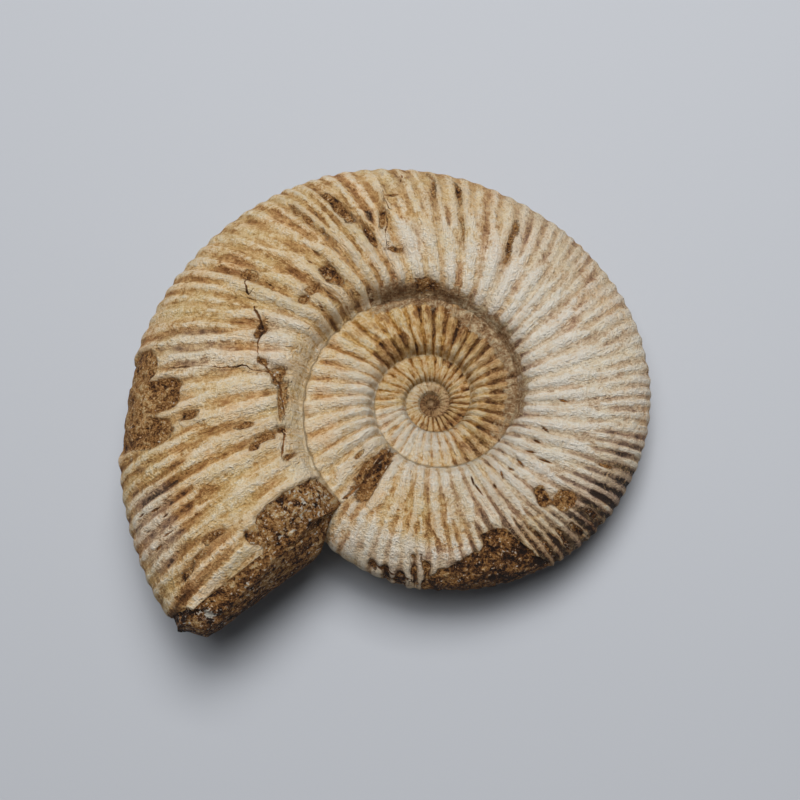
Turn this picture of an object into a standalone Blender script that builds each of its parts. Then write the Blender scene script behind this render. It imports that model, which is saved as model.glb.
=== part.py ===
"""Ammonite fossil: one ribbed shell, coiled in a plane, lying on its side.

Metres, +Z up. The coil is built flat about the Z axis, with the axis at the
middle of the coil, and is then leaned until it rests on its lower side. Angles
run counter-clockwise from +X and grow towards the mouth, whole turns included.
"""

import math

import bmesh
import bpy
import numpy as np
from mathutils import Matrix

TURN = 2.0 * math.pi

# Spiral: radii at angle 0 of the last whorl, and how they grow in one turn.
VENTER_RADIUS = 0.0454
VENTER_GROWTH = 1.949
SEAM_RADIUS = 0.0171
SEAM_GROWTH = 2.192
# The outer edge of the last whorl is pressed in on one side.
PRESSED_SHARE = 0.052
PRESSED_ANGLE = math.radians(62.0)
PRESSED_WIDTH = math.radians(42.0)

# Whorl section: half its thickness over its height, and the form of its flank.
HALF_THICKNESS = 0.36
SEAM_LEVEL = 0.42
WALL_SHARE = 0.22
WALL_STEEPNESS = 3.2
VENTER_SHARE = 0.72
VENTER_FULLNESS = 2.6
VENTER_ROUNDNESS = 0.46
SLOPE_STEP = 0.002
# Rows of the section, from the seam (0) to the venter (1).
SECTION_ROWS = (0.0, 0.07, 0.16, 0.36, 0.53, 0.67, 0.82, 0.94, 1.0)
OVERLAP_ROW = 5

# The mouth is a flat break: its direction and its distance from the coil axis.
MOUTH_DIRECTION = math.radians(216.6)
MOUTH_OFFSET = 0.0069
MOUTH_BLUNTING = math.radians(0.9)
BLUNT_FROM_SHARE = 0.84
MOUTH_BULGE = 0.0037
MOUTH_ROUGHNESS = 0.0005
ROUGHNESS_STEP = 2.9
MOUTH_RINGS = (0.07, 0.3, 0.65)
# Turns of the coil that are modelled; the middle inside them is closed by a cone.
TURNS = 3.0
CENTRE_LEVEL = 0.8

# Ribs of the last whorl: mean spacing, where they start, and how many ribs they
# stray from even spacing (cosine and sine parts, once to four times a turn).
RIB_SPACING = math.radians(7.46)
RIB_START = 16.065
RIB_STRAY = ((0.057, 0.326), (0.293, 0.169), (0.074, -0.103), (-0.122, -0.148))
# Ribs of the inner whorls: spacing, and what it gains by the turn squared.
INNER_SPACING = math.radians(9.1)
INNER_SPACING_GAIN = math.radians(0.9)
# Rib height over whorl height, and the lean of the ribs along the coil.
RIB_HEIGHT = 0.034
RIB_LEAN = math.radians(9.0)
EARLY_LEAN_SHARE = 0.25
LATE_LEAN_SHARE = 0.15
RIB_LEAN_START = math.radians(-120.0)
RIB_LEAN_FULL = math.radians(-20.0)
RIB_LEAN_FADE = math.radians(190.0)
RIB_LEAN_END = math.radians(222.0)
SHOULDER_SHARE = 0.12
FORK_START = 0.42
FORK_END = 0.66
INNER_FORK_SHIFT = 0.2
INNER_FORK_EASE = 0.4
FORKED_HEIGHT = 0.6
SEAM_RIB_HEIGHT = 0.25
INNER_RIB_GAIN = 0.35
STEPS_PER_RIB = 4
INNER_STEPS_PER_RIB = 2
ANGLE_SAMPLES = 6000
MERGE_DISTANCE = 0.00004

# Lost shell: (angle, height share, half angle, half share, depth in metres), and
# where its edge begins to rise.
LOST_EDGE = 0.75
LOST_SHELL = (
    (math.radians(181.0), 0.86, math.radians(9.0), 0.24, 0.0010),
    (math.radians(-66.0), 0.88, math.radians(16.0), 0.26, 0.0008),
    (math.radians(-127.0), 0.42, math.radians(4.5), 0.34, 0.0014),
)

# Rest: the way the coil leans, by how much, and how deep its contacts are worn.
LEAN_DIRECTION = math.radians(26.0)
LEAN = math.radians(4.5)
WORN_DEPTH = 0.0005
CUTTER_SIZE = 0.3

STONE_COLOUR = (0.66, 0.55, 0.40, 1.0)
STONE_ROUGHNESS = 0.88


def smoothstep(low, high, value):
    """Ease from 0 at low to 1 at high."""
    share = np.clip((value - low) / (high - low), 0.0, 1.0)
    return share * share * (3.0 - 2.0 * share)


def venter_radius(angle):
    """Distance from the coil axis to the outer edge of the whorl."""
    pressed = PRESSED_SHARE * np.exp(-((angle - PRESSED_ANGLE) / PRESSED_WIDTH) ** 2)
    return VENTER_RADIUS * VENTER_GROWTH ** (angle / TURN) * (1.0 - pressed)


def seam_radius(angle):
    """Distance from the coil axis to the seam on the whorl's inner side."""
    return SEAM_RADIUS * SEAM_GROWTH ** (angle / TURN)


def whorl_height(angle):
    """Height of the whorl, from its seam to its outer edge."""
    return venter_radius(angle) - seam_radius(angle)


def overlap_share(angle):
    """Share of the whorl's height at which the next whorl covers it."""
    return (seam_radius(angle + TURN) - seam_radius(angle)) / whorl_height(angle)


def flank_profile(share):
    """Half thickness over its largest value, from the seam (0) to the venter (1)."""
    wall = 1.0 - np.clip(share / WALL_SHARE, 0.0, 1.0)
    rise = SEAM_LEVEL + (1.0 - SEAM_LEVEL) * (1.0 - wall ** WALL_STEEPNESS)
    outer = np.clip((share - (1.0 - VENTER_SHARE)) / VENTER_SHARE, 0.0, 1.0)
    return rise * (1.0 - outer ** VENTER_FULLNESS) ** VENTER_ROUNDNESS


def rib_lean(angle, share):
    """Angle by which a rib runs ahead of where it crosses the shoulder."""
    early = float(smoothstep(RIB_LEAN_START, RIB_LEAN_FULL, angle))
    late = float(smoothstep(RIB_LEAN_FADE, RIB_LEAN_END, angle))
    slope = EARLY_LEAN_SHARE + (1.0 - EARLY_LEAN_SHARE) * early
    slope *= 1.0 - (1.0 - LATE_LEAN_SHARE) * late
    return RIB_LEAN * slope * abs(share - SHOULDER_SHARE)


def rib_count(angle):
    """Number of ribs passed on the way out to an angle; whole at each crest."""
    last = np.clip(angle, mouth_angle(0.0) - TURN, None)
    count = last / RIB_SPACING + RIB_START
    for wave, (cosine, sine) in enumerate(RIB_STRAY, start=1):
        count = count + cosine * np.cos(wave * last) + sine * np.sin(wave * last)
    turns_in = (last - angle) / TURN
    widening = math.sqrt(INNER_SPACING_GAIN / INNER_SPACING)
    scale = TURN / math.sqrt(INNER_SPACING * INNER_SPACING_GAIN)
    return count - scale * np.arctan(turns_in * widening)


def rib_height(angle, share):
    """Height of the ribs: single near the seam, forked near the venter."""
    count = rib_count(angle - rib_lean(angle, share))
    single = 0.5 + 0.5 * np.cos(TURN * count)
    forked = 0.5 - 0.5 * np.cos(2.0 * TURN * count)
    begin = mouth_angle(0.0) - TURN
    inside = 1.0 - smoothstep(begin - INNER_FORK_EASE, begin, angle)
    fork = smoothstep(FORK_START, FORK_END, share - INNER_FORK_SHIFT * inside)
    strength = SEAM_RIB_HEIGHT + (1.0 - SEAM_RIB_HEIGHT) * smoothstep(0.0, SHOULDER_SHARE, share)
    crest = strength * ((1.0 - fork) * single + FORKED_HEIGHT * fork * forked)
    fading = smoothstep(first_angle(), first_angle() + TURN, angle)
    return RIB_HEIGHT * whorl_height(angle) * (1.0 + INNER_RIB_GAIN * inside) * crest * fading


def lost_depth(angle, share):
    """How far the surface lies back where the shell is gone from the stone."""
    depth = 0.0
    for centre, middle, half_angle, half_share, deep in LOST_SHELL:
        reach = math.hypot((angle - centre) / half_angle, (share - middle) / half_share)
        depth += deep * (1.0 - float(smoothstep(LOST_EDGE, 1.0, reach)))
    return depth


def mouth_angle(share):
    """Angle at which the whorl breaks off, at a share of its height."""
    angle = MOUTH_DIRECTION
    for _ in range(6):
        radius = seam_radius(angle) + share * whorl_height(angle)
        angle = MOUTH_DIRECTION + math.asin(MOUTH_OFFSET / radius)
    return angle - MOUTH_BLUNTING * float(smoothstep(BLUNT_FROM_SHARE, 1.0, share))


def covered_angle(share):
    """Angle, one turn in, at which the mouth's plane meets the whorl before."""
    angle = MOUTH_DIRECTION - TURN
    for _ in range(6):
        radius = seam_radius(angle) + share * whorl_height(angle)
        angle = MOUTH_DIRECTION - TURN + math.asin(MOUTH_OFFSET / radius)
    return angle


def first_angle():
    """Angle at which the modelled coil begins."""
    return mouth_angle(0.0) - TURNS * TURN


def surface_point(angle, share, side):
    """Point of the shell on its upper (side 1) or lower (side -1) flank."""
    height = whorl_height(angle)
    thickness = HALF_THICKNESS * height
    before = max(share - SLOPE_STEP, 0.0)
    after = min(share + SLOPE_STEP, 1.0)
    slope = thickness * (flank_profile(after) - flank_profile(before)) / (after - before)
    length = math.hypot(slope, height)
    lift = rib_height(angle, share) - lost_depth(angle, share)
    outward = 1.0 if share >= 1.0 else -slope / length
    upward = 0.0 if share >= 1.0 else height / length
    radius = seam_radius(angle) + share * height + lift * outward
    level = thickness * flank_profile(share) + lift * upward
    return radius * math.cos(angle), radius * math.sin(angle), side * level


def seam_point(angle, side):
    """Point of the seam; past the first turn it lies on the whorl before."""
    if angle <= first_angle() + TURN:
        return surface_point(angle, 0.0, side)
    return surface_point(angle - TURN, float(overlap_share(angle - TURN)), side)


def column_angles():
    """Angles of the section columns, and the index of the last whorl's first."""
    angles = np.linspace(first_angle() - 0.2, mouth_angle(0.0) + 0.4, ANGLE_SAMPLES)
    counts = rib_count(angles)
    middle = round(float(rib_count(mouth_angle(0.0) - TURN)))
    first = math.ceil(float(rib_count(first_angle())) * INNER_STEPS_PER_RIB)
    last = math.ceil(float(rib_count(mouth_angle(0.0))) * STEPS_PER_RIB) + 2
    inner = np.arange(first, middle * INNER_STEPS_PER_RIB) / INNER_STEPS_PER_RIB
    outer = np.arange(middle * STEPS_PER_RIB, last) / STEPS_PER_RIB
    columns = np.concatenate((inner, outer))
    return np.interp(columns, counts, angles), len(inner)


def grid_faces(bm, rows):
    """Quads between neighbouring rows of vertices with equal lengths."""
    for lower, upper in zip(rows, rows[1:]):
        for index in range(len(lower) - 1):
            corners = (lower[index], lower[index + 1], upper[index + 1], upper[index])
            bm.faces.new(corners)


def stitch(bm, first_line, second_line):
    """Triangles between two lines of (position along the line, vertex) pairs."""
    i = 0
    j = 0
    while i < len(first_line) - 1 or j < len(second_line) - 1:
        first_next = first_line[i + 1][0] if i < len(first_line) - 1 else math.inf
        second_next = second_line[j + 1][0] if j < len(second_line) - 1 else math.inf
        if first_next <= second_next:
            corners = (first_line[i][1], first_line[i + 1][1], second_line[j][1])
            i += 1
        else:
            corners = (first_line[i][1], second_line[j + 1][1], second_line[j][1])
            j += 1
        if len(set(corners)) == 3:
            bm.faces.new(corners)


def row_line(bm, side, row, angles, venter):
    """One row of a side as (angle, vertex) pairs; both sides share the venter's."""
    full_share = SECTION_ROWS[row]
    line = []
    for column, angle in enumerate(angles):
        angle = min(float(angle) + rib_lean(angle, full_share), mouth_angle(full_share))
        share = full_share
        if row >= OVERLAP_ROW:
            angle = max(angle, covered_angle(full_share))
        elif angle < mouth_angle(0.0) - TURN:
            share *= float(overlap_share(angle)) / SECTION_ROWS[OVERLAP_ROW]
        if row == 0:
            vertex = bm.verts.new(seam_point(angle, side))
        elif row < len(SECTION_ROWS) - 1:
            vertex = bm.verts.new(surface_point(angle, share, side))
        else:
            if column not in venter:
                venter[column] = bm.verts.new(surface_point(angle, share, side))
            vertex = venter[column]
        line.append((angle, vertex))
    return line


def close_centre(bm, rim, side):
    """Close the middle of the coil with a low cone."""
    level = side * CENTRE_LEVEL * HALF_THICKNESS * whorl_height(first_angle())
    middle = bm.verts.new((0.0, 0.0, level))
    for index, vertex in enumerate(rim):
        bm.faces.new((vertex, rim[(index + 1) % len(rim)], middle))


def coil_side(bm, side, venter):
    """Build one side of the coil; return its mouth line and its covered line."""
    angles, first_full = column_angles()
    rows = [row_line(bm, side, row, angles, venter) for row in range(OVERLAP_ROW)]
    for row in range(OVERLAP_ROW, len(SECTION_ROWS)):
        rows.append(row_line(bm, side, row, angles[first_full:], venter))
    seam = rows[0]
    rows[OVERLAP_ROW][0] = (rows[OVERLAP_ROW][0][0], seam[-1][1])

    flank = [[vertex for _, vertex in line] for line in rows]
    grid_faces(bm, flank[:OVERLAP_ROW])
    grid_faces(bm, [flank[OVERLAP_ROW - 1][first_full:]] + flank[OVERLAP_ROW:])

    second_turn = first_angle() + TURN
    over = [(angle - TURN, vertex) for angle, vertex in seam if angle >= second_turn]
    stitch(bm, rows[OVERLAP_ROW - 1][:first_full + 1], over)
    rim = [vertex for angle, vertex in seam if angle < second_turn] + [over[0][1]]
    rim += [flank[row][0] for row in range(OVERLAP_ROW - 1, 0, -1)]
    close_centre(bm, rim, side)
    return [line[-1] for line in flank], [line[0] for line in flank[OVERLAP_ROW:]]


def along(line):
    """Pair each vertex of a line with its share of the line's length."""
    lengths = [0.0]
    for before, after in zip(line, line[1:]):
        lengths.append(lengths[-1] + (after.co - before.co).length)
    return [(length / lengths[-1], vertex) for length, vertex in zip(lengths, line)]


def point_along(line, share):
    """Point at a share of the length of a line made by along()."""
    shares = [position for position, _ in line]
    return [float(np.interp(share, shares, [v.co[axis] for _, v in line])) for axis in range(3)]


def close_mouth(bm, edge, covered):
    """Fill the broken mouth: rings from the shell's edge in to the covered whorl."""
    normal = np.array((-math.sin(MOUTH_DIRECTION), math.cos(MOUTH_DIRECTION), 0.0))
    outer = along(edge)
    inner = along(covered)
    previous = outer
    for depth in MOUTH_RINGS:
        number = round(len(outer) + depth * (len(inner) - len(outer)))
        line = [outer[0]]
        for index in range(1, number - 1):
            share = index / (number - 1)
            place = (1.0 - depth) * np.array(point_along(outer, share))
            place += depth * np.array(point_along(inner, share))
            middle = math.sin(math.pi * share)
            rough = MOUTH_ROUGHNESS * math.sin(ROUGHNESS_STEP * (index + 7.0 * depth))
            place += normal * middle * (MOUTH_BULGE * middle + rough)
            line.append((share, bm.verts.new(place)))
        line.append(outer[-1])
        stitch(bm, previous, line)
        previous = line
    stitch(bm, previous, inner)


def add_material(thing, name, colour, roughness):
    """Give an object a plain opaque finish."""
    material = bpy.data.materials.new(name)
    material.use_nodes = True
    shader = material.node_tree.nodes["Principled BSDF"]
    shader.inputs["Base Color"].default_value = colour
    shader.inputs["Roughness"].default_value = roughness
    shader.inputs["Metallic"].default_value = 0.0
    thing.data.materials.append(material)


def build_coil(collection):
    """Build the closed shell, coiled flat about its own Z axis."""
    bm = bmesh.new()
    venter = {}
    upper_edge, upper_covered = coil_side(bm, 1.0, venter)
    lower_edge, lower_covered = coil_side(bm, -1.0, venter)
    edge = upper_edge + lower_edge[-2::-1]
    covered = upper_covered + lower_covered[-2::-1]
    close_mouth(bm, edge, covered)
    bmesh.ops.remove_doubles(bm, verts=bm.verts, dist=MERGE_DISTANCE)
    bmesh.ops.dissolve_degenerate(bm, edges=bm.edges, dist=MERGE_DISTANCE / 2.0)
    bmesh.ops.recalc_face_normals(bm, faces=bm.faces)

    mesh = bpy.data.meshes.new("ammonite")
    bm.to_mesh(mesh)
    bm.free()
    mesh.shade_flat()
    coil = bpy.data.objects.new("ammonite", mesh)
    collection.objects.link(coil)
    return coil


def lay_down(coil):
    """Lean the coil about its axis and set it over the origin, on the ground."""
    axis = (-math.sin(LEAN_DIRECTION), math.cos(LEAN_DIRECTION), 0.0)
    lean = Matrix.Rotation(LEAN, 4, axis)
    points = np.array([lean @ vertex.co for vertex in coil.data.vertices])
    low = points.min(axis=0)
    middle = (low + points.max(axis=0)) / 2.0
    place = Matrix.Translation((-middle[0], -middle[1], -low[2] - WORN_DEPTH))
    coil.matrix_world = place @ lean


def build_wear_cutter(collection):
    """Build the block that wears the lowest ribs flat, its top at the ground."""
    bm = bmesh.new()
    bmesh.ops.create_cube(bm, size=CUTTER_SIZE)
    mesh = bpy.data.meshes.new("wear_cutter")
    bm.to_mesh(mesh)
    bm.free()
    cutter = bpy.data.objects.new("wear_cutter", mesh)
    cutter.location.z = -CUTTER_SIZE / 2.0
    cutter.hide_render = True
    cutter.display_type = "WIRE"
    collection.objects.link(cutter)
    return cutter


def main():
    """Build the ammonite."""
    for thing in list(bpy.data.objects):
        bpy.data.objects.remove(thing, do_unlink=True)
    parts = bpy.data.collections.new("ammonite_fossil")
    cutters = bpy.data.collections.new("cutters")
    bpy.context.scene.collection.children.link(parts)
    bpy.context.scene.collection.children.link(cutters)

    coil = build_coil(parts)
    lay_down(coil)
    wear = coil.modifiers.new("worn_contacts", "BOOLEAN")
    wear.operation = "DIFFERENCE"
    wear.solver = "EXACT"
    wear.object = build_wear_cutter(cutters)
    add_material(coil, "fossil_stone", STONE_COLOUR, STONE_ROUGHNESS)


main()
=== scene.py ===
"""Ammonite fossil: its finished surface, its stone, and the floor, light and camera.

The shell is one closed surface. A point of it has an angle along the coil, which
counts whole turns and grows towards the mouth, and a share of the whorl's height,
from 0 at the seam with the whorl before to 1 at the outer edge, the venter.
"""
import logging
import math
from dataclasses import dataclass, field
from enum import Enum

import bmesh
import bpy
import numpy as np
from mathutils import Matrix, Vector


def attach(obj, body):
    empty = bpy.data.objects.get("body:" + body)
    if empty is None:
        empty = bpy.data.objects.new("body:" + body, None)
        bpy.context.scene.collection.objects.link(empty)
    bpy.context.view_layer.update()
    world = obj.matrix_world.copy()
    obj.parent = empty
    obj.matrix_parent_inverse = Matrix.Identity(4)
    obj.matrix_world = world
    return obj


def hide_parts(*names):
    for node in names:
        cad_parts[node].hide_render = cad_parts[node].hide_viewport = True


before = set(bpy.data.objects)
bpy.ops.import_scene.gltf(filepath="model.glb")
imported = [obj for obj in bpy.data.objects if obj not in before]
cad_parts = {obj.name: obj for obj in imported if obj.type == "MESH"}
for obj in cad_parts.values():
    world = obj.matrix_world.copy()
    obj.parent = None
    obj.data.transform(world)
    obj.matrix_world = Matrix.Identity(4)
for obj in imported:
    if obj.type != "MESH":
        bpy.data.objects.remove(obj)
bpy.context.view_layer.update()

Array = np.ndarray
Colour = tuple[float, float, float]
Stops = tuple[tuple[float, Colour], ...]
Socket = bpy.types.NodeSocket
TURN = 2.0 * math.pi
# Distance from a crack, over its half width, where there is none near.
NO_CRACK = 9.0
# Power of the rounded square that outlines a patch: 2 is an ellipse.
PATCH_POWER = 2.6
LOG = logging.getLogger("ammonite")


class Side(Enum):
    """The two flanks of the coil as it lies."""

    UPPER = 1
    LOWER = -1


class Tone(Enum):
    """What discolours the shell, and where shade is painted on it."""

    CHALK = "chalk"
    DARK = "dark"
    OCHRE = "ochre"
    STAIN = "stain"
    SAND = "sand"
    EARTH = "earth"


def smoothstep(low: float, high: float, value: Array) -> Array:
    """Ease from 0 at low to 1 at high, as 3x^2 - 2x^3.

    Args:
        low: Value where the result is 0.
        high: Value where the result is 1.
        value: Values to ease.

    Returns:
        Shares from 0 to 1.
    """
    share = np.clip((value - low) / (high - low), 0.0, 1.0)
    return share * share * (3.0 - 2.0 * share)


def fold(share: Array) -> Array:
    """Share counted up either flank, for shares that run on over the venter."""
    return np.where(share <= 1.0, share, 2.0 - share)


@dataclass(frozen=True)
class Noise:
    """Seeded smooth noise: random values on a repeating lattice, eased between."""

    seed: int
    cells: int = 32

    def layer(self, points: Array, size: float, shift: int) -> Array:
        """One layer: the eight values round each point, mixed by eased distance.

        Args:
            points: Places, with x, y, z on the last axis.
            size: Lattice spacing, in the points' unit.
            shift: Picks another lattice of the same seed.

        Returns:
            Values from -1 to 1.
        """
        values = np.random.default_rng(self.seed + shift).uniform(-1.0, 1.0, (self.cells,) * 3)
        place = points / size + 7.3 * (shift + 1)
        cell = np.floor(place).astype(int)
        part = place - cell
        part = part * part * (3.0 - 2.0 * part)
        total = np.zeros(points.shape[:-1])
        for corner in np.ndindex(2, 2, 2):
            index = (cell + np.array(corner)) % self.cells
            weight = np.prod(np.where(np.array(corner) == 1, part, 1.0 - part), axis=-1)
            total += weight * values[index[..., 0], index[..., 1], index[..., 2]]
        return total

    def cloud(self, points: Array, size: float, layers: int = 3) -> Array:
        """Several layers, each of half the size and half the strength.

        Args:
            points: Places, with x, y, z on the last axis.
            size: Spacing of the coarsest layer.
            layers: Number of layers.

        Returns:
            Values from about -1 to 1.
        """
        total = np.zeros(points.shape[:-1])
        for step in range(layers):
            total += self.layer(points, size / 2 ** step, step) / 2 ** step
        return total / (2.0 - 0.5 ** (layers - 1))


@dataclass(frozen=True)
class Spiral:
    """The coil's form: two spirals, the whorl's section, and the break at its mouth."""

    venter_radius: float = 0.0454
    venter_growth: float = 1.949
    seam_radius: float = 0.0171
    seam_growth: float = 2.192
    pressed_share: float = 0.052
    pressed_angle: float = math.radians(62.0)
    pressed_width: float = math.radians(42.0)
    half_thickness: float = 0.36
    seam_level: float = 0.42
    wall_share: float = 0.22
    wall_steepness: float = 3.2
    venter_share: float = 0.72
    venter_fullness: float = 2.6
    venter_roundness: float = 0.46
    mouth_direction: float = math.radians(216.6)
    mouth_offset: float = 0.0069
    mouth_tip: float = math.radians(0.5)
    tip_from_share: float = 0.8
    slope_step: float = 0.002
    edge_slope: float = 1e6

    def venter(self, angle: Array) -> Array:
        """Radius of the outer edge: it grows by a factor a turn, pressed in on one side.

        Args:
            angle: Angles along the coil.

        Returns:
            Radii in metres.
        """
        pressed = np.exp(-((angle - self.pressed_angle) / self.pressed_width) ** 2)
        grown = self.venter_radius * self.venter_growth ** (angle / TURN)
        return grown * (1.0 - self.pressed_share * pressed)

    def seam(self, angle: Array) -> Array:
        """Radius of the seam: it grows by a factor a turn."""
        return self.seam_radius * self.seam_growth ** (angle / TURN)

    def height(self, angle: Array) -> Array:
        """Whorl height: from the seam to the outer edge."""
        return self.venter(angle) - self.seam(angle)

    def overlap(self, angle: Array) -> Array:
        """Share of the height at which the next whorl covers this one."""
        return (self.seam(angle + TURN) - self.seam(angle)) / self.height(angle)

    def profile(self, share: Array) -> Array:
        """Half thickness over its largest: a steep wall, a flat flank, a round venter.

        The wall is 1 less a power of the way left to its top, and the venter is a power of
        1 less a power of the way along it, as in a superellipse.

        Args:
            share: Shares of the whorl's height.

        Returns:
            Shares of the largest half thickness.
        """
        wall = 1.0 - np.clip(share / self.wall_share, 0.0, 1.0)
        rise = self.seam_level + (1.0 - self.seam_level) * (1.0 - wall ** self.wall_steepness)
        outer = np.clip((share - 1.0 + self.venter_share) / self.venter_share, 0.0, 1.0)
        return rise * (1.0 - outer ** self.venter_fullness) ** self.venter_roundness

    def plane_angle(self, share: Array, turns_in: int) -> Array:
        """Angle where the plane of the break meets the whorl.

        The plane has a direction and a distance from the axis, so a point at radius r
        on it lies at that direction plus the arc sine of distance over r.

        Args:
            share: Shares of the whorl's height.
            turns_in: 0 for the last whorl, 1 for the one before.

        Returns:
            Angles along the coil.
        """
        start = self.mouth_direction - turns_in * TURN
        angle = np.full(np.shape(share), start)
        for _ in range(6):
            radius = self.seam(angle) + share * self.height(angle)
            angle = start + np.arcsin(self.mouth_offset / radius)
        return angle

    def mouth_angle(self, share: Array) -> Array:
        """Angle where the stone ends: the plane of the break, drawn out at the venter."""
        return self.plane_angle(share, 0) + self.mouth_tip * smoothstep(self.tip_from_share, 0.95, share)

    @property
    def end(self) -> float:
        """Angle of the seam at the mouth."""
        return float(self.mouth_angle(np.zeros(1))[0])

    def frame_at(self, angle: Array, share: Array) -> tuple[Array, Array, Array, Array]:
        """Smooth surface in the section's plane, with its outward normal.

        The normal is the tangent of the section, found by a small step in share,
        turned by a right angle.

        Args:
            angle: Angles along the coil.
            share: Shares of the whorl's height.

        Returns:
            Radius, level, and the normal's radial and vertical parts.
        """
        height = self.height(angle)
        thickness = self.half_thickness * height
        before = np.clip(share - self.slope_step, 0.0, 1.0)
        after = np.clip(share + self.slope_step, 0.0, 1.0)
        slope = thickness * (self.profile(after) - self.profile(before)) / (after - before)
        slope = np.where(share >= 1.0, -self.edge_slope, slope)
        length = np.hypot(slope, height)
        radius = self.seam(angle) + share * height
        return radius, thickness * self.profile(share), -slope / length, height / length


# Crests of the last whorl's ribs, in degrees along the coil, at the share Ribs.crest_share.
RIB_CRESTS = (
    -138.8, -127.9, -117.0, -107.0, -97.4, -89.0, -81.7, -73.3, -65.4, -60.2, -54.5, -48.6, -43.0,
    -36.2, -29.2, -21.9, -15.7, -7.9, -1.5, 5.9, 13.8, 22.1, 29.7, 37.4, 43.0, 48.8, 57.0, 66.0,
    74.5, 83.0, 90.7, 98.5, 107.5, 114.5, 119.7, 126.5, 135.3, 142.7, 149.7, 156.3, 163.3, 171.7,
    180.3, 188.0, 195.0, 202.0, 209.3, 216.3, 223.5, 230.8, 238.0,
)


# What is left of the ribs: (degrees along the coil, height, power of their cosine).
RIB_WEAR = (
    (-300.0, 0.95, 0.7), (-200.0, 1.0, 0.6), (-138.0, 1.0, 0.65), (-122.0, 0.62, 0.7),
    (-90.0, 0.5, 0.95), (-60.0, 0.6, 0.9), (-30.0, 0.8, 0.85), (40.0, 0.72, 0.85),
    (95.0, 0.72, 1.0), (150.0, 0.95, 1.0), (185.0, 0.75, 1.0), (212.0, 0.6, 1.0),
    (230.0, 0.5, 1.0),
)


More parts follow.
